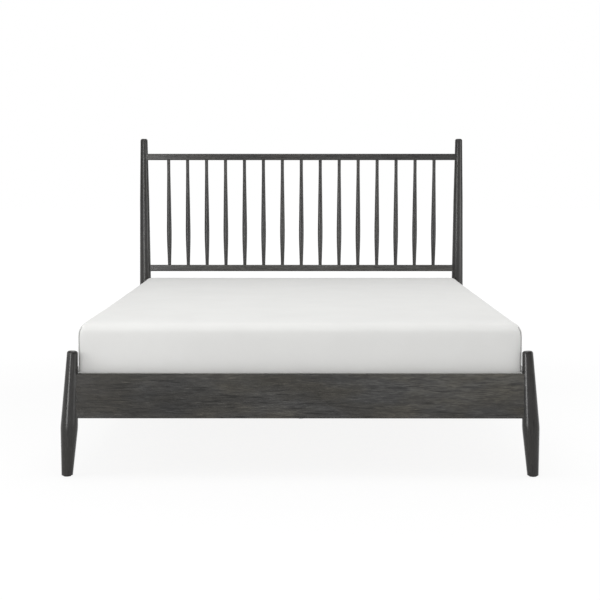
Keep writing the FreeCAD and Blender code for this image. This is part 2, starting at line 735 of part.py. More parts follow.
def headboard_rails():
    """The board at side-rail height and the two slim rails that hold the spindles."""
    base = tenoned_rail(
        "headboard_base_rail",
        "Layout.base_rail_y",
        "Sizes.base_rail_thickness",
        ("Sizes.rail_bottom", "Layout.rail_top"),
        "Sizes.rail_edge_radius",
        "Layout.base_rail_shoulder",
        BED_TENON,
    )
    hanger = new_sketch(base, "hanger_pilots", "XZ_Plane", "Sizes.base_rail_thickness / 2")
    circles(hanger, SCREW_HOLE, hanger_screw_centres())
    pocket(base, hanger, PAN_PILOT)
    for name, span in HEAD_RAILS.items():
        rail = tenoned_rail(
            f"headboard_{name}",
            "Layout.head_y",
            "Sizes.head_rail_depth",
            span,
            "Sizes.head_rail_edge_radius",
            f"Layout.{name}_shoulder",
            HEAD_TENON,
        )
        underneath = name == "top_rail"
        level = span[0] if underneath else span[1]
        first = new_sketch(rail, f"{name}_socket", "XY_Plane", level)
        circles(first, "Sizes.spindle_tenon_radius + Sizes.spindle_tenon_gap", [(spindle_place(0), "0")])
        socket = pocket(
            rail, first, "Sizes.spindle_tenon_length + Sizes.spindle_tenon_gap", backwards=underneath
        )
        row = rail.newObject("PartDesign::LinearPattern", f"{name}_sockets")
        row.Originals = [socket]
        row.Direction = (first, ["H_Axis"])
        row.Occurrences = SPINDLE_COUNT
        bind(row, Length=f"Layout.spindle_pitch * {SPINDLE_COUNT - 1}")
        rail.Tip = row


def spindle(number):
    """A turned spindle: straight tapers meet in a long soft swell, with a round tenon at each end."""
    name = f"headboard_spindle_{number + 1:02d}"
    body = new_body(name, spindle_place(number), "Layout.head_y", "Layout.spindle_rail_top")
    curve = "Layout.spindle_swell_curve"
    lower, upper = "Layout.spindle_lower_run", "Layout.spindle_upper_run"
    swell, level = "Sizes.spindle_swell_radius", "Sizes.spindle_swell_height"
    profile = new_sketch(body, f"{name}_profile", "XZ_Plane")
    outline(
        profile,
        [
            ("0", "-Sizes.spindle_tenon_length"),
            ("Sizes.spindle_tenon_radius", "-Sizes.spindle_tenon_length"),
            ("Sizes.spindle_tenon_radius", "0"),
            ("Sizes.spindle_foot_radius", "0"),
            (f"{swell} - pow({lower}; 2) / (2 * {curve})", f"{level} - {lower}"),
            (f"{swell} - pow({upper}; 2) / (2 * {curve})", f"{level} + {upper}", curve, 1),
            ("Sizes.spindle_neck_radius", "Layout.spindle_neck_start"),
            ("Sizes.spindle_neck_radius", "Layout.spindle_length"),
            ("Sizes.spindle_tenon_radius", "Layout.spindle_length"),
            ("Sizes.spindle_tenon_radius", "Layout.spindle_length + Sizes.spindle_tenon_length"),
            ("0", "Layout.spindle_length + Sizes.spindle_tenon_length"),
        ],
    )
    turned(body, profile)
    keep(body, name)


def side_rails():
    """The long rails, drilled for the bracket bolts, the cleat screws and the head bolts."""
    body = new_body("side_rail_right", "Layout.side_rail_inner", "Layout.side_rail_first")
    section = new_sketch(body, "side_rail_section", "XZ_Plane")
    rounded_rectangle(
        section,
        "0",
        "Sizes.rail_bottom",
        "Sizes.side_rail_thickness",
        "Layout.rail_top",
        "Sizes.rail_edge_radius",
    )
    pad(body, section, "Layout.side_rail_length", backwards=True)
    bracket = new_sketch(body, "bracket_pilots", "YZ_Plane")
    along = "Layout.bracket_corner_y + Sizes.bracket_hole_out - Layout.side_rail_first"
    circles(
        bracket,
        "Sizes.bracket_bolt_radius + Sizes.bolt_gap",
        [(along, height) for height in bracket_bolt_heights()],
    )
    pocket(body, bracket, BRACKET_PILOT, backwards=True)
    cleat = new_sketch(body, "cleat_pilots", "YZ_Plane")
    start = "Layout.cleat_first - Layout.side_rail_first"
    circles(cleat, SCREW_HOLE, [(f"{start} + {p}", "Layout.cleat_middle_z") for p in cleat_screw_places()])
    pocket(body, cleat, "Sizes.screw_length - Sizes.cleat_thickness + Sizes.screw_gap", backwards=True)
    bolts = new_sketch(body, "bolt_holes", "XZ_Plane", "-Layout.side_rail_length")
    circles(
        bolts,
        "Sizes.head_bolt_radius + Sizes.bolt_gap",
        [("Sizes.side_rail_thickness / 2", height) for height in head_bolt_heights()],
    )
    pocket(body, bolts, "Sizes.head_bolt_grip + Sizes.bolt_gap", backwards=True)
    nuts = new_sketch(body, "nut_holes", "YZ_Plane")
    circles(
        nuts,
        "Sizes.nut_radius + Sizes.bolt_gap",
        [("Layout.side_rail_length - Sizes.nut_place", height) for height in head_bolt_heights()],
    )
    depth = "(Sizes.side_rail_thickness + Sizes.nut_length) / 2 + Sizes.bolt_gap"
    pocket(body, nuts, depth, backwards=True)
    keep(body, "side_rail_right")
    mirrored(body, "side_rail_left")


def countersink(body, sketch, backwards):
    """Cuts the flared seats of flat-headed screws, from their rims down."""
    cut = pocket(body, sketch, "Sizes.screw_head_height", backwards)
    bind(
        cut,
        TaperAngle="-atan((Sizes.screw_head_radius - Sizes.screw_radius) / Sizes.screw_head_height)",
    )
    doc.recompute()


def cleats():
    """Ledger strips screwed to the inside of the side rails."""
    inner = "Layout.side_rail_inner - Sizes.cleat_thickness"
    body = new_body("side_cleat_right", inner, "Layout.cleat_first")
    section = new_sketch(body, "cleat_section", "XZ_Plane")
    rounded_rectangle(
        section,
        "0",
        "Layout.slat_bottom - Sizes.cleat_height",
        "Sizes.cleat_thickness",
        "Layout.slat_bottom",
        "Sizes.cleat_edge_radius",
    )
    pad(body, section, "Layout.cleat_length", backwards=True)
    centres = [(p, "Layout.cleat_middle_z") for p in cleat_screw_places()]
    shanks = new_sketch(body, "cleat_screw_holes", "YZ_Plane")
    circles(shanks, SCREW_HOLE, centres)
    pocket(body, shanks, backwards=True)
    heads = new_sketch(body, "cleat_screw_seats", "YZ_Plane")
    circles(heads, SCREW_SEAT, centres)
    countersink(body, heads, backwards=True)
    ends = new_sketch(body, "slat_screw_pilots", "XY_Plane", "Layout.slat_bottom")
    centres = [
        ("Layout.slat_screw_x - Layout.side_rail_inner + Sizes.cleat_thickness", f"{p} - Layout.cleat_first")
        for p in (slat_place(0), slat_place(SLAT_COUNT - 1))
    ]
    circles(ends, SCREW_HOLE, centres)
    pocket(body, ends, "Sizes.screw_length - Sizes.slat_thickness + Sizes.screw_gap")
    keep(body, "side_cleat_right")
    mirrored(body, "side_cleat_left")


def slat(number):
    """One slat; the first and the last are screwed down to the cleats."""
    name = f"slat_{number + 1:02d}"
    body = new_body(name, y=slat_place(number), z="Layout.slat_bottom")
    section = new_sketch(body, f"{name}_section", "YZ_Plane", "-Layout.slat_length / 2")
    rounded_rectangle(
        section,
        "-Sizes.slat_width / 2",
        "0",
        "Sizes.slat_width / 2",
        "Sizes.slat_thickness",
        "Sizes.slat_edge_radius",
    )
    pad(body, section, "Layout.slat_length")
    if number in (0, SLAT_COUNT - 1):
        centres = [("Layout.slat_screw_x", "0"), ("-Layout.slat_screw_x", "0")]
        shanks = new_sketch(body, f"{name}_screw_holes", "XY_Plane", "Sizes.slat_thickness")
        circles(shanks, SCREW_HOLE, centres)
        pocket(body, shanks)
        heads = new_sketch(body, f"{name}_screw_seats", "XY_Plane", "Sizes.slat_thickness")
        circles(heads, SCREW_SEAT, centres)
        countersink(body, heads, backwards=False)
    keep(body, name)


def slat_tapes():
    """Two webbing tapes under the slats, which keep their spacing."""
    for side, sign in (("right", ""), ("left", "-")):
        tape = doc.addObject("Part::Box", f"slat_tape_{side}")
        length = "Layout.slat_last - Layout.slat_first + Sizes.slat_width - 2 * Sizes.tape_end_margin"
        bind(tape, Length="Sizes.tape_width", Width=length, Height="Sizes.tape_thickness")
        place(
            tape,
            f"{sign}Sizes.tape_place - Sizes.tape_width / 2",
            "Layout.slat_first - Sizes.slat_width / 2 + Sizes.tape_end_margin",
            "Layout.slat_bottom - Sizes.tape_thickness",
        )
        keep(tape, f"slat_tape_{side}")


def centre_beam():
    body = new_body("centre_beam", y="Layout.beam_first")
    section = new_sketch(body, "beam_section", "XZ_Plane")
    rounded_rectangle(
        section,
        "-Sizes.beam_width / 2",
        "Layout.beam_bottom",
        "Sizes.beam_width / 2",
        "Layout.slat_bottom",
        "Sizes.beam_edge_radius",
    )
    pad(body, section, "Layout.beam_last - Layout.beam_first", backwards=True)
    bolt = new_sketch(body, "leg_bolt_hole", "XY_Plane", "Layout.beam_bottom")
    circles(bolt, "Sizes.leg_bolt_radius + Sizes.bolt_gap", [("0", "Layout.leg_y - Layout.beam_first")])
    pocket(body, bolt, "Sizes.leg_bolt_length / 2 + Sizes.bolt_gap", backwards=True)
    keep(body, "centre_beam")


def hanger_screw_centres():
    """Two screws through the hanger's flanges, at half its height."""
    height = "Layout.hanger_bottom + Sizes.hanger_height / 2"
    return [("Layout.hanger_screw_x", height), ("-Layout.hanger_screw_x", height)]


def beam_hanger(name, y, turn):
    """A bent steel cradle: a flanged plate on the board and a trough for the end of the beam."""
    body = new_body(name, y=y)
    body.Placement = FreeCAD.Placement(body.Placement.Base, turn)
    place(body, y=y)
    half, sheet = "Layout.hanger_half", "Sizes.hanger_sheet"
    bottom, top = "Layout.hanger_bottom", "Layout.hanger_bottom + Sizes.hanger_height"
    plate = new_sketch(body, f"{name}_plate", "XZ_Plane")
    rectangle(plate, f"-({half} + Sizes.hanger_flange)", bottom, f"{half} + Sizes.hanger_flange", top)
    pad(body, plate, sheet, backwards=True)
    trough = new_sketch(body, f"{name}_trough", "XZ_Plane")
    outline(
        trough,
        [
            (f"-{half}", top),
            (f"-{half}", bottom),
            (half, bottom),
            (half, top),
            (f"{half} - {sheet}", top),
            (f"{half} - {sheet}", f"{bottom} + {sheet}"),
            (f"-({half} - {sheet})", f"{bottom} + {sheet}"),
            (f"-({half} - {sheet})", top),
        ],
    )
    pad(body, trough, "Sizes.hanger_reach", backwards=True)
    holes = new_sketch(body, f"{name}_holes", "XZ_Plane")
    circles(holes, SCREW_HOLE, hanger_screw_centres())
    pocket(body, holes)
    keep(body, name)


def centre_leg():
    """A square leg under the beam, bored for its bolt above and for the levelling foot below."""
    body = new_body("centre_leg", y="Layout.leg_y", z="Layout.leg_bottom")
    section = new_sketch(body, "leg_section", "XY_Plane")
    half = "Sizes.leg_width / 2"
    rounded_rectangle(section, f"-{half}", f"-{half}", half, half, "Sizes.leg_edge_radius")
    pad(body, section, "Layout.leg_height")
    bolt = new_sketch(body, "leg_bolt_hole", "XY_Plane", "Layout.leg_height")
    circles(bolt, "Sizes.leg_bolt_radius + Sizes.bolt_gap", [("0", "0")])
    pocket(body, bolt, "Sizes.leg_bolt_length / 2 + Sizes.bolt_gap")
    insert = new_sketch(body, "leg_insert_hole", "XY_Plane")
    circles(insert, "Sizes.insert_radius + Sizes.glue_gap", [("0", "0")])
    pocket(body, insert, "Sizes.levelling_stem_length", backwards=True)
    keep(body, "centre_leg")

    stud = doc.addObject("Part::Cylinder", "centre_leg_bolt")
    bind(stud, Radius="Sizes.leg_bolt_radius", Height="Sizes.leg_bolt_length")
    place(stud, y="Layout.leg_y", z="Layout.beam_bottom - Sizes.leg_bolt_length / 2")
    keep(stud, "centre_leg_bolt")

    body = new_body("leg_insert", y="Layout.leg_y", z="Layout.leg_bottom")
    bore = "Sizes.levelling_stem_radius + Sizes.thread_gap"
    profile = new_sketch(body, "leg_insert_profile", "XZ_Plane")
    outline(
        profile,
        [
            (bore, "-Sizes.insert_flange_thickness"),
            ("Sizes.insert_flange_radius", "-Sizes.insert_flange_thickness"),
            ("Sizes.insert_flange_radius", "0"),
            ("Sizes.insert_radius", "0"),
            ("Sizes.insert_radius", "Sizes.insert_length"),
            (bore, "Sizes.insert_length"),
        ],
    )
    turned(body, profile)
    keep(body, "leg_insert")

    body = new_body("levelling_foot", y="Layout.leg_y")
    rim = "Sizes.levelling_pad_radius"
    profile = new_sketch(body, "levelling_foot_profile", "XZ_Plane")
    outline(
        profile,
        [
            ("0", "0"),
            (f"{rim} - Sizes.levelling_pad_chamfer", "0"),
            (rim, "Sizes.levelling_pad_chamfer"),
            (rim, "Sizes.levelling_pad_height - Sizes.levelling_pad_chamfer"),
            (f"{rim} - Sizes.levelling_pad_chamfer", "Sizes.levelling_pad_height"),
            ("Sizes.levelling_stem_radius", "Sizes.levelling_pad_height"),
            ("Sizes.levelling_stem_radius", "Sizes.levelling_pad_height + Sizes.levelling_stem_length"),
            ("0", "Sizes.levelling_pad_height + Sizes.levelling_stem_length"),
        ],
    )
    turned(body, profile)
    keep(body, "levelling_foot")


def corner_brackets():
    """Bent steel plates in the foot corners: a flange on each rail and a slanted web past the post."""
    corner = ("Layout.bracket_corner_x", "Layout.bracket_corner_y", "Layout.bracket_base")
    body = new_body("corner_bracket_right", *corner)
    leg, web, sheet = "Sizes.bracket_leg", "Sizes.bracket_web", "Sizes.bracket_sheet"
    bend = f"({web} + {sheet} * tan(45 / 2))"
    profile = new_sketch(body, "bracket_profile", "XY_Plane")
    outline(
        profile,
        [
            (f"-{leg}", "0"),
            (f"-{web}", "0"),
            ("0", web),
            ("0", leg),
            (f"-{sheet}", leg),
            (f"-{sheet}", bend),
            (f"-{bend}", sheet),
            (f"-{leg}", sheet),
        ],
    )
    pad(body, profile, "Layout.bracket_height")
    heights = [f"{height} - Layout.bracket_base" for height in bracket_bolt_heights()]
    radius = "Sizes.bracket_bolt_radius + Sizes.bolt_gap"
    across = new_sketch(body, "bracket_side_holes", "YZ_Plane")
    circles(across, radius, [("Sizes.bracket_hole_out", height) for height in heights])
    pocket(body, across, sheet)
    along = new_sketch(body, "bracket_foot_holes", "XZ_Plane")
    circles(along, radius, [("-Sizes.bracket_hole_out", height) for height in heights])
    pocket(body, along, sheet)
    keep(body, "corner_bracket_right")
    mirrored(body, "corner_bracket_left")


def fastener(name, profile_points):
    """A turned fastener with its head above Z = 0 and its shank below."""
    body = new_body(name)
    profile = new_sketch(body, f"{name}_profile", "XZ_Plane")
    outline(profile, profile_points)
    turned(body, profile)
    return body


def headed(name, shank_radius, length, head_radius, head_height):
    """A bolt or screw with a flat round head."""
    return fastener(
        name,
        [
            ("0", f"-({length})"),
            (shank_radius, f"-({length})"),
            (shank_radius, "0"),
            (head_radius, "0"),
            (head_radius, head_height),
            ("0", head_height),
        ],
    )


def bracket_bolts():
    bolt = headed(
        "bracket_bolt",
        "Sizes.bracket_bolt_radius",
        "Sizes.bracket_bolt_length",
        "Sizes.bracket_head_radius",
        "Sizes.bracket_head_height",
    )
    places = []
    for sign, inwards in SIDES:
        for height in bracket_bolt_heights():
            on_board = f"{sign} * (Layout.bracket_corner_x - Sizes.bracket_hole_out)"
            places.append((on_board, "Layout.bracket_corner_y + Sizes.bracket_sheet", height, TO_HEAD))
            on_side = f"{sign} * (Layout.bracket_corner_x - Sizes.bracket_sheet)"
            places.append((on_side, "Layout.bracket_corner_y + Sizes.bracket_hole_out", height, inwards))
    group("bracket_bolts", bolt, places)


def headboard_bolts():
    """Bolts from behind the head posts and the barrel nuts in the side rails that take them."""
    bolt = headed(
        "headboard_bolt",
        "Sizes.head_bolt_radius",
        "Layout.head_bolt_seat + Layout.head_bolt_end",
        "Sizes.head_bolt_head_radius",
        "Sizes.head_bolt_head_height",
    )
    barrel = doc.addObject("Part::Cylinder", "nut_barrel")
    bind(barrel, Radius="Sizes.nut_radius", Height="Sizes.nut_length")
    barrel.Placement = FreeCAD.Placement(FreeCAD.Vector(), TO_RIGHT)
    place(barrel, x="-Sizes.nut_length / 2")
    thread = doc.addObject("Part::Cylinder", "nut_thread")
    bind(thread, Radius="Sizes.head_bolt_radius + Sizes.thread_gap", Height="4 * Sizes.nut_radius")
    thread.Placement = FreeCAD.Placement(FreeCAD.Vector(), TO_FOOT)
    place(thread, y="2 * Sizes.nut_radius")
    nut = doc.addObject("Part::Cut", "barrel_nut")
    nut.Base = barrel
    nut.Tool = thread
    seat = "Layout.head_y + Layout.head_bolt_seat"
    middle = "Layout.side_rail_middle"
    spots = [(f"{sign} * {middle}", height) for sign, _ in SIDES for height in head_bolt_heights()]
    group("headboard_bolts", bolt, [(x, seat, z, TO_HEAD) for x, z in spots])
    group("barrel_nuts", nut, [(x, "Layout.nut_y", z, UPRIGHT) for x, z in spots])


def screws():
    """Pan-headed screws in the beam hangers; flat-headed ones in the cleats and the end slats."""
    pan = headed(
        "hanger_screw",
        "Sizes.screw_radius",
        "Sizes.pan_screw_length",
        "Sizes.pan_head_radius",
        "Sizes.pan_head_height",
    )
    foot_face = "Layout.foot_y + Layout.footboard_inner + Sizes.hanger_sheet"
    head_face = "Layout.head_y - Layout.base_rail_inner - Sizes.hanger_sheet"
    places = [(x, foot_face, z, TO_HEAD) for x, z in hanger_screw_centres()]
    places += [(x, head_face, z, TO_FOOT) for x, z in hanger_screw_centres()]
    group("hanger_screws", pan, places)
    flat = fastener(
        "wood_screw",
        [
            ("0", "-Sizes.screw_length"),
            ("Sizes.screw_radius", "-Sizes.screw_length"),
            ("Sizes.screw_radius", "-Sizes.screw_head_height"),
            ("Sizes.screw_head_radius", "0"),
            ("0", "0"),
        ],
    )
    places = []
    for sign, inwards in SIDES:
        face = f"{sign} * (Layout.side_rail_inner - Sizes.cleat_thickness)"
        for along in cleat_screw_places():
            places.append((face, f"Layout.cleat_first + {along}", "Layout.cleat_middle_z", inwards))
        for number in (0, SLAT_COUNT - 1):
            places.append((f"{sign} * Layout.slat_screw_x", slat_place(number), "Layout.deck_top", UPRIGHT))
    group("wood_screws", flat, places)


def post_glides():
    """Nail-in glides under the four posts."""
    rim, height = "Sizes.glide_radius", "Sizes.glide_height"
    glide = fastener(
        "post_glide",
        [
            ("0", "0"),
            (f"{rim} - Sizes.glide_chamfer", "0"),
            (rim, "Sizes.glide_chamfer"),
            (rim, height),
            ("Sizes.glide_nail_radius", height),
            ("Sizes.glide_nail_radius", f"{height} + Sizes.glide_nail_length"),
            ("0", f"{height} + Sizes.glide_nail_length"),
        ],
    )
    places = []
    for sign, _ in SIDES:
        places.append((f"{sign} * Layout.foot_glide_x", "Layout.foot_y", "0", UPRIGHT))
        places.append((f"{sign} * Layout.head_post_x", "Layout.head_y", "0", UPRIGHT))
    group("post_glides", glide, places)


def soft_outline(sketch, half_width, half_length, radius):
    """A rounded rectangle about the origin whose sides are drawn in a little between the corners."""
    across = f"pow({half_width} - {radius}; 2) / (2 * Sizes.mattress_side_draw)"
    along = f"pow({half_length} - {radius}; 2) / (2 * Sizes.mattress_side_draw)"
    right, front = f"{half_width} - {radius}", f"{half_length} - {radius}"
    left, back = f"-({right})", f"-({front})"
    outline(
        sketch,
        [
            (left, f"-{half_length}", radius, 1),
            (right, f"-{half_length}", across, -1),
            (half_width, back, radius, 1),
            (half_width, front, along, -1),
            (right, half_length, radius, 1),
            (left, half_length, across, -1),
            (f"-{half_width}", front, radius, 1),
            (f"-{half_width}", back, along, -1),
        ],
    )


def mattress():
    """A soft slab lofted upwards in bands: a tucked-in seam, full sides, a rounded edge and a crown.

    The space of the spring unit inside is left empty, so that the mass comes near a real mattress's.
    """
    body = new_body("mattress", y="Layout.mattress_y", z="Layout.mattress_bottom")
    low, high, tuck = "Sizes.mattress_bottom_round", "Sizes.mattress_top_round", "Sizes.mattress_seam_tuck"
    levels = [("0", low), (f"{low} * {EDGE_SHARE}", f"{low} * {EDGE_SHARE}"), (low, tuck)]
    levels += [(f"Layout.mattress_shoulder * {SIDE_SHARE}", "0"), ("Layout.mattress_shoulder", "0")]
    for angle in EDGE_ANGLES:
        levels.append((f"Layout.mattress_shoulder + {high} * sin({angle})", f"{high} * (1 - cos({angle}))"))
    for share in CROWN_SHARES:
        level = f"Sizes.mattress_thickness - Sizes.mattress_crown * {(1 - share) ** 2:g}"
        levels.append((level, f"{high} + (Sizes.mattress_crown_run - {high}) * {share}"))
    sections = []
    for number, (level, inset) in enumerate(levels, 1):
        section = new_sketch(body, f"mattress_section_{number}", "XY_Plane", level)
        half_width = f"(Sizes.mattress_width / 2 - ({inset}))"
        half_length = f"(Sizes.mattress_length / 2 - ({inset}))"
        soft_outline(section, half_width, half_length, "Sizes.mattress_corner_radius")
        sections.append(section)
    for first in range(0, len(sections) - 2, 2):
        band = body.newObject("PartDesign::AdditiveLoft", f"mattress_band_{first // 2 + 1}")
        band.Profile = sections[first]
        band.Sections = sections[first + 1 : first + 3]
        doc.recompute()
    side = "(Sizes.mattress_width / 2 - Sizes.mattress_border)"
    end = "(Sizes.mattress_length / 2 - Sizes.mattress_border)"
    springs = new_sketch(body, "mattress_spring_space", "XY_Plane", "Sizes.mattress_base_pad")
    rounded_rectangle(springs, f"-{side}", f"-{end}", side, end, "Sizes.mattress_corner_radius")
    pocket(body, springs, "Layout.mattress_spring_height", backwards=True)
    keep(body, "mattress")


foot_posts()
headboard_posts()
footboard()
headboard_rails()
for index in range(SPINDLE_COUNT):
    spindle(index)
side_rails()
cleats()
for index in range(SLAT_COUNT):
    slat(index)
slat_tapes()
centre_beam()
beam_hanger("beam_hanger_foot", "Layout.foot_y + Layout.footboard_inner", UPRIGHT)
beam_hanger("beam_hanger_head", "Layout.head_y - Layout.base_rail_inner", HALF_TURN)
centre_leg()
corner_brackets()
bracket_bolts()
headboard_bolts()
screws()
post_glides()
mattress()
doc.recompute()

for thing in doc.Objects:
    if "Invalid" in thing.State or "Error" in thing.State:
        raise RuntimeError(f"{thing.Name} failed to build: {thing.State}")
for node in nodes:
    shape = Part.getShape(node)
    if shape.isNull() or not shape.isValid() or not shape.Solids:
        raise RuntimeError(f"{node.Label} has no sound solid")

os.makedirs("parts", exist_ok=True)
for node in nodes:
    Part.getShape(node).exportStep(f"parts/{node.Label}.step")
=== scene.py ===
"""Looks of the platform bed: charcoal-stained wood, a white mattress cover and plain studio light.

The CAD pieces keep their shapes and get their finishes here. The mattress is modelled anew, as a cover
that its filling swells, with the seams sewn in afterwards. Metres, with small sizes given in millimetres.
"""
import bpy
import math
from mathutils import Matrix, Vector


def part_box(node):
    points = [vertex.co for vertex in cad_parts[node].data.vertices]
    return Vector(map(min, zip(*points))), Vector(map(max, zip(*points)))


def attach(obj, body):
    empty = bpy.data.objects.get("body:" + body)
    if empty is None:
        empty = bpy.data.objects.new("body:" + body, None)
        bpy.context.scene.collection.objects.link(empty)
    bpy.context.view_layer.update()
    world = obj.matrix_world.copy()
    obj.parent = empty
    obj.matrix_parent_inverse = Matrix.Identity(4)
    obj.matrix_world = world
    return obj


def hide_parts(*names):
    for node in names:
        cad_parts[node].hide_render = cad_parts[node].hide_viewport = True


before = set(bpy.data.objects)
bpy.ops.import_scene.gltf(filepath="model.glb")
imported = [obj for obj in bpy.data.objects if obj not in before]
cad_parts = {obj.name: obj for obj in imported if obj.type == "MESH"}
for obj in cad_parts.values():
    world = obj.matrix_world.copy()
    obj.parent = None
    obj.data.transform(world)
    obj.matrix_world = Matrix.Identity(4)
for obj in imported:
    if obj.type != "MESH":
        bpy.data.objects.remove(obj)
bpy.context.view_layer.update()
MM = 0.001

# Camera, found from the photograph's perspective
CAMERA_PLACE = Vector((0.015, -5.752, 1.048))
CAMERA_PITCH = math.radians(5.35)
CAMERA_YAW = math.radians(0.18)
FOCAL_PIXELS = 1393.5
PICTURE_PIXELS = 600
SENSOR_WIDTH = 36

# Stained wood: each pattern's length and width in millimetres, its detail, the noise levels between which it
# changes, and what it adds to the tone at each. The first is a slow drift along the piece, and the last two
# are sparse dark and light dashes. Real pores are finer than the picture can show, so the finest marks are
# drawn as coarse as it needs.
WOOD_PATTERNS = (
    ((1500, 700), 0, (0.3, 0.7), (-0.2, 0.2)),
    ((520, 150), 2, (0.3, 0.7), (-0.2, 0.2)),
    ((150, 18), 3, (0.3, 0.7), (-0.12, 0.12)),
    ((26, 3.2), 3, (0.3, 0.7), (-0.22, 0.22)),
    ((85, 5), 2, (0.31, 0.41), (-0.5, 0)),
    ((50, 4), 2, (0.61, 0.72), (0, 0.32)),
)
WOOD_WAVER = 0.2
WOOD_MIDDLE_TONE = 0.5
WOOD_DARK, WOOD_MIDDLE, WOOD_LIGHT = "#242322", "#424140", "#605F5C"
WOOD_TINT_SIZE = (190, 70)
WOOD_TINT_LEVELS = (0.35, 0.65)
WOOD_IOR = 1.55
PORE_DEPTH = 0.4
PORE_STRENGTH = 0.06
# Knots: their spacing along and across the grain in millimetres, the share of it at which they begin and
# have faded out, and how much they darken the tone
KNOT_SIZE = (640, 150)
KNOT_EDGES = (0.01, 0.07)
KNOT_DARKNESS = 0.45
# Stained finishes: the grain's direction, the strength of the figure, the stain's cool and warm tint, the
# lacquer's roughness on dark and on light wood, and its specular level. On the two headboard rails the tint
# also holds painted shade (top rail) and painted light (spindle rail).
STAINED_FINISHES = {
    "board_x": ("X", 1, "#F1F2F3", "#FAF4E4", (0.3, 0.22), 0.3),
    "board_y": ("Y", 1, "#F1F2F3", "#FAF4E4", (0.3, 0.22), 0.3),
    "turned": ("Z", 0.5, "#D2D3D6", "#D8D6D2", (0.24, 0.17), 0.4),
    "turned_foot": ("Z", 0.5, "#C8C9CC", "#CECCC8", (0.24, 0.17), 0.26),
    # The top rail's darker tint is painted shade and the spindle rail's lighter tint painted light; both
    # rails are the same wood
    "top_rail": ("X", 0.7, "#CDCED1", "#D3D1CD", (0.3, 0.22), 0.4),
    "spindle_rail": ("X", 0.7, "#FBFCFF", "#FFFDF9", (0.3, 0.22), 0.4),
}

# Sizes of the other finishes' patterns, in millimetres
PINE_RING_SIZE = (600, 9)
ZINC_CLOUD = 9
MOULD_PEBBLE = 0.8
WEBBING_RIB = 2.5
TICKING_CLOUD = 180
TICKING_LOOP = 2.2
# Stitch spacing drawn in the painted seam shade
STITCH_SPACING = 3
# The wave texture turns by this many radians for each unit of its scaled coordinate
WAVE_RATE = 20

# Mattress cover, in millimetres, and the angle of its upright seams from the end's own direction
COVER_VOXEL = 14
COVER_SWELL = 3
COVER_CORNER = 16
COVER_TOP_ROUND = 40
COVER_FULLER = 3.5
COVER_CROWN = 4
COVER_CROWN_RUN = 260
COVER_SPARE = 40
COVER_CORNER_STEPS = 8
COVER_TOP_STEPS = 6
FILLING_PRESSURE = 4
FILLING_FRAMES = 20
TAPE_RADIUS = 5.5
TAPE_CORNER_STEPS = 16
TAPE_ROUND_STEPS = 4
SEAM_ANGLE = math.radians(45)
SEAM_WIDTH = 3
SEAM_DEPTH = 6
# How far beside a seam the cover is cut, how far below the top the seam begins, and the share of its width
# that is drawn in
SEAM_REACH = 2 * COVER_VOXEL
SEAM_DROP = COVER_TOP_ROUND / 3
SEAM_GRIP = 0.9

# Studio: how bright the room is in diffuse light and in reflections, and how far towards the back its
# reflection begins to whiten and is white
ROOM_LIGHT = 0.54
ROOM_GLOSS = 0.25
ROOM_BACK = (0.5, 0.95)
# Floor: its size in metres, how bright it glows where it is seen, what share of it glows near the bed, and
# from where to where, in metres from the middle, that share grows to the whole
FLOOR_SIZE = 60
FLOOR_GLOW = 1.05
FLOOR_SHARE = 0.85
FLOOR_NEAR = 1.5
FLOOR_FAR = 4
FLOOR_PAINT = "#DDDDDD"
# Lamps: place, aim, width and length in metres, how bright each makes a white face at its aim, and how wide
# its beam spreads. A softbox lights everything, a fill only matt surfaces, and a strip is seen only in gloss,
# where it draws the bright line down each turned piece.
BED_MIDDLE = (0, -0.3, 0.45)
LAMPS = (
    ("top_softbox", (-0.3, -0.8, 3.8), BED_MIDDLE, 2.4, 1.6, 0.44, 180),
    ("left_softbox", (-2.2, -1.6, 0.9), BED_MIDDLE, 0.8, 1.0, 0.11, 180),
    ("right_softbox", (2.5, -0.3, 0.9), BED_MIDDLE, 1.2, 1.0, 0.16, 180),
    ("front_fill", (-0.2, -4.6, 0.8), BED_MIDDLE, 1.6, 1.0, 0.16, 180),
    ("left_strip", (-1.36, -2.15, 0.76), BED_MIDDLE, 0.4, 1.5, 0.28, 180),
    ("right_foot_strip", (0.0, -1.63, 0.26), (0.79, -1.04, 0.3), 0.3, 0.5, 0.028, 45),
    ("left_foot_strip", (0.15, -1.4, 0.26), (-0.79, -1.04, 0.3), 0.5, 0.5, 0.008, 45),
)


def linear(hex_colour):
    """A colour written as sRGB hex, as the linear colour that shaders take."""
    parts = [int(hex_colour[i : i + 2], 16) / 255 for i in (1, 3, 5)]
    return [p / 12.92 if p <= 0.04045 else ((p + 0.055) / 1.055) ** 2.4 for p in parts] + [1.0]


def add(tree, kind, sockets=None, **settings):
    """Adds a node with its settings; a socket takes a value, or a link from another node's output."""
    made = tree.nodes.new(kind)
    for name, value in settings.items():
        setattr(made, name, value)
    for key, value in (sockets or {}).items():
        if isinstance(value, bpy.types.NodeSocket):
            tree.links.new(value, made.inputs[key])
        else:
            made.inputs[key].default_value = value
    return made


def new_material(name):
    """An empty material with its output and one principled shader."""
    material = bpy.data.materials.new(name)
    material.use_nodes = True
    tree = material.node_tree
    tree.nodes.clear()
    shader = add(tree, "ShaderNodeBsdfPrincipled")
    add(tree, "ShaderNodeOutputMaterial", {"Surface": shader.outputs["BSDF"]})
    return material, tree, shader


def grain_scale(size, grain):
    """Scales a pattern of the given length and width so that its length runs along X, Y or Z."""
    length, width = (1 / (mm * MM) for mm in size)
    return [length if axis == grain else width for axis in "XYZ"]


def wave_scale(spacing):
    """Scales the wave texture to one wave for each spacing, given in millimetres."""
    return 1 / (WAVE_RATE * spacing * MM) * math.tau


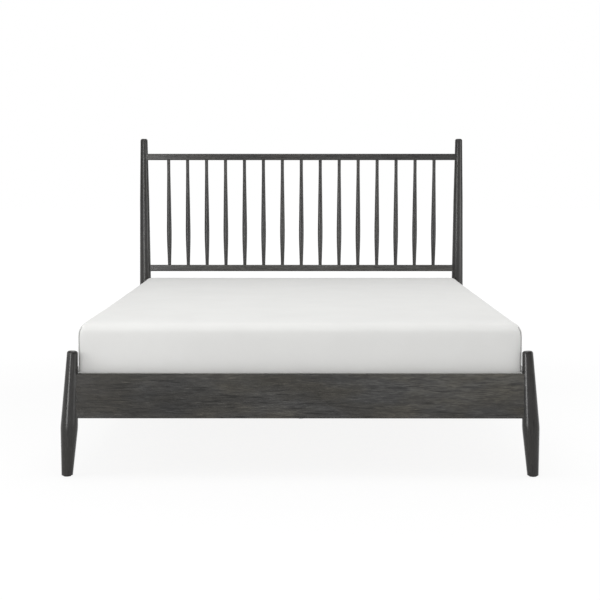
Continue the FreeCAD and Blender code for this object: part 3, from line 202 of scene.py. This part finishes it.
def stained_wood(name, grain, figure, cool, warm, satin, specular):
    """Hardwood under a charcoal stain and a satin lacquer.

    The stain sinks into the open grain, so the eye gets sparse dark and light dashes on a grey that drifts
    between warm and cool, a few small knots, and a smooth sheen over it all. Figure sets how strong the
    marks are: a board shows its full figure, a turned piece a calmer one.
    """
    material, tree, shader = new_material(f"charcoal_stained_hardwood_{name}")
    place = add(tree, "ShaderNodeTexCoord").outputs["Object"]
    tone = WOOD_MIDDLE_TONE
    for size, detail, (least, most), (darker, lighter) in WOOD_PATTERNS:
        laid = add(tree, "ShaderNodeMapping", {"Vector": place, "Scale": grain_scale(size, grain)})
        noise = add(
            tree,
            "ShaderNodeTexNoise",
            {"Vector": laid.outputs[0], "Scale": 1, "Detail": detail, "Distortion": WOOD_WAVER},
        )
        mark = add(
            tree,
            "ShaderNodeMapRange",
            {0: noise.outputs[0], 1: least, 2: most, 3: darker * figure, 4: lighter * figure},
        )
        tone = add(tree, "ShaderNodeMath", {0: mark.outputs[0], 1: tone}, operation="ADD").outputs[0]
    laid = add(tree, "ShaderNodeMapping", {"Vector": place, "Scale": grain_scale(KNOT_SIZE, grain)})
    knots = add(tree, "ShaderNodeTexVoronoi", {"Vector": laid.outputs[0], "Scale": 1})
    knot = add(
        tree,
        "ShaderNodeMapRange",
        {0: knots.outputs["Distance"], 1: KNOT_EDGES[0], 2: KNOT_EDGES[1], 3: KNOT_DARKNESS * figure, 4: 0},
    )
    tone = add(tree, "ShaderNodeMath", {0: tone, 1: knot.outputs[0]}, operation="SUBTRACT").outputs[0]
    stain = add(tree, "ShaderNodeValToRGB", {"Fac": tone})
    shades = stain.color_ramp.elements
    shades[0].position, shades[0].color = 0, linear(WOOD_DARK)
    shades[1].position, shades[1].color = 1, linear(WOOD_LIGHT)
    shades.new(WOOD_MIDDLE_TONE).color = linear(WOOD_MIDDLE)
    laid = add(tree, "ShaderNodeMapping", {"Vector": place, "Scale": grain_scale(WOOD_TINT_SIZE, grain)})
    drift = add(tree, "ShaderNodeTexNoise", {"Vector": laid.outputs[0], "Scale": 1, "Detail": 2})
    least, most = WOOD_TINT_LEVELS
    drift = add(tree, "ShaderNodeMapRange", {0: drift.outputs[0], 1: least, 2: most})
    tint = add(
        tree,
        "ShaderNodeMix",
        {0: drift.outputs[0], 6: linear(cool), 7: linear(warm)},
        data_type="RGBA",
    )
    colour = add(
        tree,
        "ShaderNodeMix",
        {0: 1, 6: stain.outputs[0], 7: tint.outputs[2]},
        data_type="RGBA",
        blend_type="MULTIPLY",
    )
    rough = add(tree, "ShaderNodeMapRange", {0: tone, 3: satin[0], 4: satin[1]})
    bump = add(
        tree, "ShaderNodeBump", {"Height": tone, "Strength": PORE_STRENGTH, "Distance": PORE_DEPTH * MM}
    )
    tree.links.new(colour.outputs[2], shader.inputs["Base Color"])
    tree.links.new(rough.outputs[0], shader.inputs["Roughness"])
    tree.links.new(bump.outputs[0], shader.inputs["Normal"])
    shader.inputs["IOR"].default_value = WOOD_IOR
    shader.inputs["Specular IOR Level"].default_value = specular
    return material


def planed_pine(grain):
    """Planed softwood with no finish: pale straw with broad honey bands, dry and barely shiny."""
    material, tree, shader = new_material(f"planed_pine_{grain.lower()}")
    place = add(tree, "ShaderNodeTexCoord").outputs["Object"]
    laid = add(tree, "ShaderNodeMapping", {"Vector": place, "Scale": grain_scale(PINE_RING_SIZE, grain)})
    rings = add(
        tree,
        "ShaderNodeTexNoise",
        {"Vector": laid.outputs[0], "Scale": 1, "Detail": 3, "Distortion": 0.8},
    )
    band = add(tree, "ShaderNodeMapRange", {0: rings.outputs[0], 1: 0.4, 2: 0.65})
    colour = add(
        tree,
        "ShaderNodeMix",
        {0: band.outputs[0], 6: linear("#E2C9A0"), 7: linear("#C69E68")},
        data_type="RGBA",
    )
    bump = add(
        tree, "ShaderNodeBump", {"Height": rings.outputs[0], "Strength": 0.15, "Distance": 0.3 * MM}
    )
    tree.links.new(colour.outputs[2], shader.inputs["Base Color"])
    tree.links.new(bump.outputs[0], shader.inputs["Normal"])
    shader.inputs["Roughness"].default_value = 0.62
    return material


def zinc_steel():
    """Zinc-plated mild steel: a cool grey metal with the cloudy patches of the plating bath."""
    material, tree, shader = new_material("zinc_plated_steel")
    place = add(tree, "ShaderNodeTexCoord").outputs["Object"]
    cloud = add(tree, "ShaderNodeTexNoise", {"Vector": place, "Scale": 1 / (ZINC_CLOUD * MM), "Detail": 4})
    dull = add(tree, "ShaderNodeMapRange", {0: cloud.outputs[0], 1: 0.3, 2: 0.7, 3: 0.3, 4: 0.48})
    colour = add(
        tree,
        "ShaderNodeMix",
        {0: cloud.outputs[0], 6: linear("#B9BCC0"), 7: linear("#D4D5D3")},
        data_type="RGBA",
    )
    tree.links.new(colour.outputs[2], shader.inputs["Base Color"])
    tree.links.new(dull.outputs[0], shader.inputs["Roughness"])
    shader.inputs["Metallic"].default_value = 1
    return material


def black_plastic():
    """Moulded polyethylene: near black, with the fine pebble of a spark-eroded mould."""
    material, tree, shader = new_material("moulded_polyethylene")
    place = add(tree, "ShaderNodeTexCoord").outputs["Object"]
    pebble = add(tree, "ShaderNodeTexNoise", {"Vector": place, "Scale": 1 / (MOULD_PEBBLE * MM), "Detail": 2})
    colour = add(
        tree,
        "ShaderNodeMix",
        {0: pebble.outputs[0], 6: linear("#151515"), 7: linear("#232323")},
        data_type="RGBA",
    )
    bump = add(
        tree, "ShaderNodeBump", {"Height": pebble.outputs[0], "Strength": 0.3, "Distance": 0.1 * MM}
    )
    tree.links.new(colour.outputs[2], shader.inputs["Base Color"])
    tree.links.new(bump.outputs[0], shader.inputs["Normal"])
    shader.inputs["Roughness"].default_value = 0.55
    return material


def woven_webbing():
    """Polypropylene webbing: off-white ribs across the tape, each a turn of flat yarn."""
    material, tree, shader = new_material("woven_polypropylene_webbing")
    place = add(tree, "ShaderNodeTexCoord").outputs["Object"]
    ribs = add(
        tree,
        "ShaderNodeTexWave",
        {"Vector": place, "Scale": wave_scale(WEBBING_RIB), "Distortion": 0},
        bands_direction="Y",
    )
    colour = add(
        tree,
        "ShaderNodeMix",
        {0: ribs.outputs[1], 6: linear("#B4AFA4"), 7: linear("#DAD6CB")},
        data_type="RGBA",
    )
    bump = add(tree, "ShaderNodeBump", {"Height": ribs.outputs[1], "Strength": 0.4, "Distance": 0.4 * MM})
    tree.links.new(colour.outputs[2], shader.inputs["Base Color"])
    tree.links.new(bump.outputs[0], shader.inputs["Normal"])
    shader.inputs["Roughness"].default_value = 0.75
    return material


def knit_ticking():
    """Stretch-knit mattress ticking: matt white loops that scatter light, a little uneven in tone."""
    material, tree, shader = new_material("stretch_knit_ticking")
    place = add(tree, "ShaderNodeTexCoord").outputs["Object"]
    cloud = add(tree, "ShaderNodeTexNoise", {"Vector": place, "Scale": 1 / (TICKING_CLOUD * MM), "Detail": 3})
    loops = add(
        tree, "ShaderNodeTexVoronoi", {"Vector": place, "Scale": 1 / (TICKING_LOOP * MM), "Randomness": 0.35}
    )
    tone = add(tree, "ShaderNodeMapRange", {0: cloud.outputs[0], 1: 0.3, 2: 0.7})
    colour = add(
        tree,
        "ShaderNodeMix",
        {0: tone.outputs[0], 6: linear("#E8E8E6"), 7: linear("#EBEBE9")},
        data_type="RGBA",
    )
    bump = add(
        tree,
        "ShaderNodeBump",
        {"Height": loops.outputs["Distance"], "Strength": 0.12, "Distance": 0.5 * MM},
        invert=True,
    )
    tree.links.new(colour.outputs[2], shader.inputs["Base Color"])
    tree.links.new(bump.outputs[0], shader.inputs["Normal"])
    shader.inputs["Roughness"].default_value = 0.9
    shader.inputs["Sheen Weight"].default_value = 0.15
    shader.inputs["Specular IOR Level"].default_value = 0.2
    return material


def painted_seam_shade():
    """Painted shade along the upright seams: a soft grey that stands for the crease's shadow, drawn with the
    slant of stitches across the seam.
    """
    material, tree, shader = new_material("seam_painted_shade_grey")
    place = add(tree, "ShaderNodeTexCoord").outputs["Object"]
    stitches = add(
        tree,
        "ShaderNodeTexWave",
        {"Vector": place, "Scale": wave_scale(STITCH_SPACING), "Distortion": 0},
        bands_direction="Z",
    )
    colour = add(
        tree,
        "ShaderNodeMix",
        {0: stitches.outputs[1], 6: linear("#A9A9A7"), 7: linear("#BEBEBC")},
        data_type="RGBA",
    )
    bump = add(
        tree, "ShaderNodeBump", {"Height": stitches.outputs[1], "Strength": 0.3, "Distance": 0.4 * MM}
    )
    tree.links.new(colour.outputs[2], shader.inputs["Base Color"])
    tree.links.new(bump.outputs[0], shader.inputs["Normal"])
    shader.inputs["Roughness"].default_value = 0.8
    return material


def dress_cad_pieces():
    """Gives every CAD piece its finish, with the grain along its length."""
    wood = {name: stained_wood(name, *finish) for name, finish in STAINED_FINISHES.items()}
    pale = {axis: planed_pine(axis) for axis in "XYZ"}
    steel, plastic, tape = zinc_steel(), black_plastic(), woven_webbing()
    finishes = (
        ("headboard_post", wood["turned"]),
        # The spindle rail's finish carries painted light, and the top rail's below carries painted shade
        ("headboard_spindle_rail", wood["spindle_rail"]),
        ("headboard_spindle", wood["turned"]),
        ("headboard_top_rail", wood["top_rail"]),
        ("headboard_bolts", steel),
        ("headboard", wood["board_x"]),
        ("footboard", wood["board_x"]),
        ("foot_post", wood["turned_foot"]),
        ("side_rail", wood["board_y"]),
        ("side_cleat", pale["Y"]),
        ("slat_tape", tape),
        ("slat", pale["X"]),
        ("centre_beam", pale["Y"]),
        ("centre_leg_bolt", steel),
        ("centre_leg", pale["Z"]),
        ("post_glides", plastic),
        ("levelling_foot", plastic),
        ("", steel),
    )
    for name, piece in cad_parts.items():
        finish = next(material for start, material in finishes if name.startswith(start))
        piece.data.materials.clear()
        piece.data.materials.append(finish)


def edit_selected(piece, kind, wanted):
    """Enters edit mode with only the edges or faces that pass the test selected."""
    bpy.context.view_layer.objects.active = piece
    bpy.ops.object.mode_set(mode="EDIT")
    bpy.ops.mesh.select_mode(type=kind)
    bpy.ops.mesh.select_all(action="DESELECT")
    bpy.ops.object.mode_set(mode="OBJECT")
    corners = piece.data.vertices
    for element in piece.data.edges if kind == "EDGE" else piece.data.polygons:
        element.select = wanted([corners[i].co for i in element.vertices])
    bpy.ops.object.mode_set(mode="EDIT")


def round_edges(piece, wanted, radius, segments):
    """Rounds the edges that pass the test, to a radius in millimetres."""
    edit_selected(piece, "EDGE", wanted)
    bpy.ops.mesh.bevel(offset=radius * MM, segments=segments)
    bpy.ops.object.mode_set(mode="OBJECT")


def fill_cover(cover):
    """Lets the filling press the cover outwards, no further than the swell."""
    start = [vertex.co.copy() for vertex in cover.data.vertices]
    cloth = cover.modifiers.new("filling", "CLOTH")
    cloth.settings.use_pressure = True
    cloth.settings.uniform_pressure_force = FILLING_PRESSURE
    cloth.settings.effector_weights.gravity = 0
    for number in range(1, FILLING_FRAMES + 1):
        bpy.context.scene.frame_set(number)
    bpy.ops.object.modifier_apply(modifier=cloth.name)
    bpy.context.scene.frame_set(1)
    for vertex, place in zip(cover.data.vertices, start):
        moved = vertex.co - place
        if moved.length > COVER_SWELL * MM:
            vertex.co = place + moved.normalized() * COVER_SWELL * MM


def fit_cover(cover, low, high):
    """Brings the swollen cover to the mattress's own size and cuts it flat where it lies on the slats."""
    places = [vertex.co for vertex in cover.data.vertices]
    for axis in range(3):
        least, most = min(place[axis] for place in places), max(place[axis] for place in places)
        stretch = (high[axis] - low[axis]) / (most - least)
        for place in places:
            place[axis] = low[axis] + (place[axis] - least) * stretch
    edit_selected(cover, "FACE", lambda corners: True)
    bpy.ops.mesh.bisect(
        plane_co=low + Vector((0, 0, COVER_SPARE * MM)), plane_no=(0, 0, 1), use_fill=True, clear_inner=True
    )
    bpy.ops.object.mode_set(mode="OBJECT")


def crown_top(cover, low, high):
    """Lets the top fall a little towards its edges, most at the edge itself."""
    middle = (low + high) / 2
    for vertex in cover.data.vertices:
        inside = min(vertex.co.x - low.x, high.x - vertex.co.x, vertex.co.y - low.y, high.y - vertex.co.y)
        fall = max(0, 1 - inside / (COVER_CROWN_RUN * MM)) ** 2
        height = max(0, (vertex.co.z - middle.z) / (high.z - middle.z))
        vertex.co.z -= COVER_CROWN * MM * fall * height


def sew_corner(cover, centre, outward, high):
    """Draws the cover in along the upright seam where its side meets its end, and gives the seam's faces the
    painted seam shade.
    """
    along = Vector((-outward.y, outward.x, 0))

    def beside(place):
        reach = place - centre
        return reach.dot(outward) > 0 and abs(reach.dot(along)) < SEAM_REACH * MM

    for offset in (-SEAM_WIDTH, -SEAM_WIDTH / 2, 0, SEAM_WIDTH / 2, SEAM_WIDTH):
        edit_selected(cover, "FACE", lambda corners: all(beside(corner) for corner in corners))
        bpy.ops.mesh.bisect(plane_co=centre + along * offset * MM, plane_no=along)
        bpy.ops.object.mode_set(mode="OBJECT")
    top = high.z - SEAM_DROP * MM
    for vertex in cover.data.vertices:
        off = abs((vertex.co - centre).dot(along)) / MM
        if beside(vertex.co) and off < SEAM_WIDTH * SEAM_GRIP:
            fade = min(1, max(0, (top - vertex.co.z) / (COVER_TOP_ROUND * MM)))
            vertex.co -= outward * SEAM_DEPTH * MM * fade * (1 - off / SEAM_WIDTH)
    # The faces along the seam, below its top, take the second material: grey painted shade for the crease's
    # shadow
    for face in cover.data.polygons:
        off = abs((face.center - centre).dot(along)) / MM
        if beside(face.center) and off < SEAM_WIDTH and face.center.z < top:
            face.material_index = 1


def tape_edge(low, high):
    """The tape sewn round the mattress's lower edge: a bead that closes the crease above the slats."""
    bpy.ops.object.select_all(action="DESELECT")
    middle = (low + high) / 2
    bpy.ops.mesh.primitive_plane_add(size=1, location=(middle.x, middle.y, low.z + TAPE_RADIUS * MM))
    tape = bpy.context.object
    tape.name = tape.data.name = "mattress_tape_edge"
    tape.scale = (high.x - low.x - 2 * TAPE_RADIUS * MM, high.y - low.y - 2 * TAPE_RADIUS * MM, 1)
    bpy.ops.object.transform_apply(location=True, rotation=False, scale=True)
    bpy.ops.object.mode_set(mode="EDIT")
    bpy.ops.mesh.select_all(action="SELECT")
    bend = (COVER_CORNER - TAPE_RADIUS) * MM
    bpy.ops.mesh.bevel(offset=bend, segments=TAPE_CORNER_STEPS, affect="VERTICES")
    bpy.ops.mesh.delete(type="ONLY_FACE")
    bpy.ops.object.mode_set(mode="OBJECT")
    bpy.ops.object.convert(target="CURVE")
    tape.data.bevel_depth = TAPE_RADIUS * MM
    tape.data.bevel_resolution = TAPE_ROUND_STEPS
    bpy.ops.object.convert(target="MESH")
    tape = bpy.context.object
    bpy.ops.object.shade_smooth()
    return tape


def mattress_cover():
    """The mattress: a rounded slab, remeshed, swollen by its filling, crowned and sewn at its corners, with
    painted shade along the seams.
    """
    low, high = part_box("mattress")
    low = low - Vector((0, 0, COVER_SPARE * MM))
    high = high + Vector((0, 0, COVER_FULLER * MM))
    bpy.ops.object.select_all(action="DESELECT")
    bpy.ops.mesh.primitive_cube_add(size=1, location=(low + high) / 2)
    cover = bpy.context.object
    cover.name = cover.data.name = "mattress_cover"
    cover.scale = high - low
    bpy.ops.object.transform_apply(location=True, rotation=False, scale=True)

    def upright(ends):
        return abs(ends[0].z - ends[1].z) > MM

    def on_top(ends):
        return all(abs(end.z - high.z) < MM for end in ends)

    round_edges(cover, upright, COVER_CORNER, COVER_CORNER_STEPS)
    round_edges(cover, on_top, COVER_TOP_ROUND, COVER_TOP_STEPS)
    remesh = cover.modifiers.new("knit", "REMESH")
    remesh.mode = "VOXEL"
    remesh.voxel_size = COVER_VOXEL * MM
    bpy.ops.object.modifier_apply(modifier=remesh.name)
    fill_cover(cover)
    finer = cover.modifiers.new("stretch", "SUBSURF")
    finer.levels = finer.render_levels = 1
    bpy.ops.object.modifier_apply(modifier=finer.name)
    fit_cover(cover, low, high)
    low.z += COVER_SPARE * MM
    crown_top(cover, low, high)
    middle = (low + high) / 2
    reach = (high - low) / 2 - Vector((COVER_CORNER, COVER_CORNER, 0)) * MM
    for side in (-1, 1):
        for end in (-1, 1):
            centre = middle + Vector((side * reach.x, end * reach.y, 0))
            outward = Vector((side * math.sin(SEAM_ANGLE), end * math.cos(SEAM_ANGLE), 0))
            sew_corner(cover, centre, outward, high)
    bpy.context.view_layer.objects.active = cover
    bpy.ops.object.select_all(action="DESELECT")
    cover.select_set(True)
    bpy.ops.object.shade_smooth()
    tape = tape_edge(low, high)
    ticking = knit_ticking()
    for piece in (cover, tape):
        piece.data.materials.append(ticking)
    # The cover's second material is grey painted shade along its seams
    cover.data.materials.append(painted_seam_shade())
    for piece in (cover, tape):
        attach(piece, "mattress")
        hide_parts("mattress")


def studio_room():
    """An even room: white where the camera sees it, dimmer in diffuse light and in reflections."""
    world = bpy.data.worlds.new("studio")
    bpy.context.scene.world = world
    world.use_nodes = True
    tree = world.node_tree
    tree.nodes.clear()
    path = add(tree, "ShaderNodeLightPath")
    way = add(tree, "ShaderNodeTexCoord").outputs["Generated"]
    way = add(tree, "ShaderNodeSeparateXYZ", {0: way})
    least, most = ROOM_BACK
    behind = add(tree, "ShaderNodeMapRange", {0: way.outputs["Y"], 1: least, 2: most, 3: ROOM_GLOSS, 4: 1})
    level = add(
        tree,
        "ShaderNodeMix",
        {0: path.outputs["Is Glossy Ray"], 2: ROOM_LIGHT, 3: behind.outputs[0]},
    )
    seen = add(
        tree,
        "ShaderNodeMath",
        {0: path.outputs["Is Camera Ray"], 1: path.outputs["Is Transmission Ray"]},
        operation="MAXIMUM",
    )
    level = add(tree, "ShaderNodeMix", {0: seen.outputs[0], 2: level.outputs[0], 3: 1})
    white = add(tree, "ShaderNodeBackground", {"Color": (1, 1, 1, 1), "Strength": level.outputs[0]})
    add(tree, "ShaderNodeOutputWorld", {"Surface": white.outputs[0]})


def studio_floor():
    """A white floor that glows where it is seen, except for the share that keeps the bed's shadow."""
    bpy.ops.object.select_all(action="DESELECT")
    bpy.ops.mesh.primitive_plane_add(size=FLOOR_SIZE)
    floor = bpy.context.object
    floor.name = "studio_floor"
    material = bpy.data.materials.new("white_studio_floor")
    material.use_nodes = True
    tree = material.node_tree
    tree.nodes.clear()
    path = add(tree, "ShaderNodeLightPath")
    place = add(tree, "ShaderNodeTexCoord").outputs["Object"]
    away = add(tree, "ShaderNodeVectorMath", {0: place}, operation="LENGTH")
    share = add(
        tree,
        "ShaderNodeMapRange",
        {0: away.outputs["Value"], 1: FLOOR_NEAR, 2: FLOOR_FAR, 3: FLOOR_SHARE, 4: 1},
    )
    seen = add(
        tree,
        "ShaderNodeMath",
        {0: path.outputs["Is Camera Ray"], 1: path.outputs["Is Glossy Ray"]},
        operation="MAXIMUM",
    )
    share = add(tree, "ShaderNodeMath", {0: share.outputs[0], 1: seen.outputs[0]}, operation="MULTIPLY")
    paint = add(tree, "ShaderNodeBsdfDiffuse", {"Color": linear(FLOOR_PAINT)})
    light = add(tree, "ShaderNodeEmission", {"Strength": FLOOR_GLOW})
    both = add(
        tree,
        "ShaderNodeMixShader",
        {0: share.outputs[0], 1: paint.outputs[0], 2: light.outputs[0]},
    )
    add(tree, "ShaderNodeOutputMaterial", {"Surface": both.outputs[0]})
    floor.data.materials.append(material)


def studio_lamps():
    """The softboxes, the fill and the strips, each hidden from the camera."""
    for name, place, aim, width, length, level, spread in LAMPS:
        data = bpy.data.lights.new(name, "AREA")
        data.shape = "RECTANGLE"
        data.size = width
        data.size_y = length
        data.spread = math.radians(spread)
        way = Vector(aim) - Vector(place)
        data.energy = level * (math.pi * way.length) ** 2
        lamp = bpy.data.objects.new(name, data)
        bpy.context.scene.collection.objects.link(lamp)
        lamp.location = place
        lamp.rotation_euler = way.to_track_quat("-Z", "Y").to_euler()
        lamp.visible_camera = False
        lamp.visible_diffuse = not name.endswith("strip")
        lamp.visible_glossy = not name.endswith("fill")


def photo_camera():
    """The camera at the photograph's viewing angle."""
    scene = bpy.context.scene
    data = bpy.data.cameras.new("photo_camera")
    data.sensor_width = SENSOR_WIDTH
    data.lens = SENSOR_WIDTH * FOCAL_PIXELS / PICTURE_PIXELS
    camera = bpy.data.objects.new("photo_camera", data)
    scene.collection.objects.link(camera)
    camera.location = CAMERA_PLACE
    camera.rotation_euler = (math.pi / 2 - CAMERA_PITCH, 0, CAMERA_YAW)
    scene.camera = camera


dress_cad_pieces()
mattress_cover()
studio_room()
studio_floor()
studio_lamps()
photo_camera()
bpy.context.scene.view_settings.view_transform = "Standard"
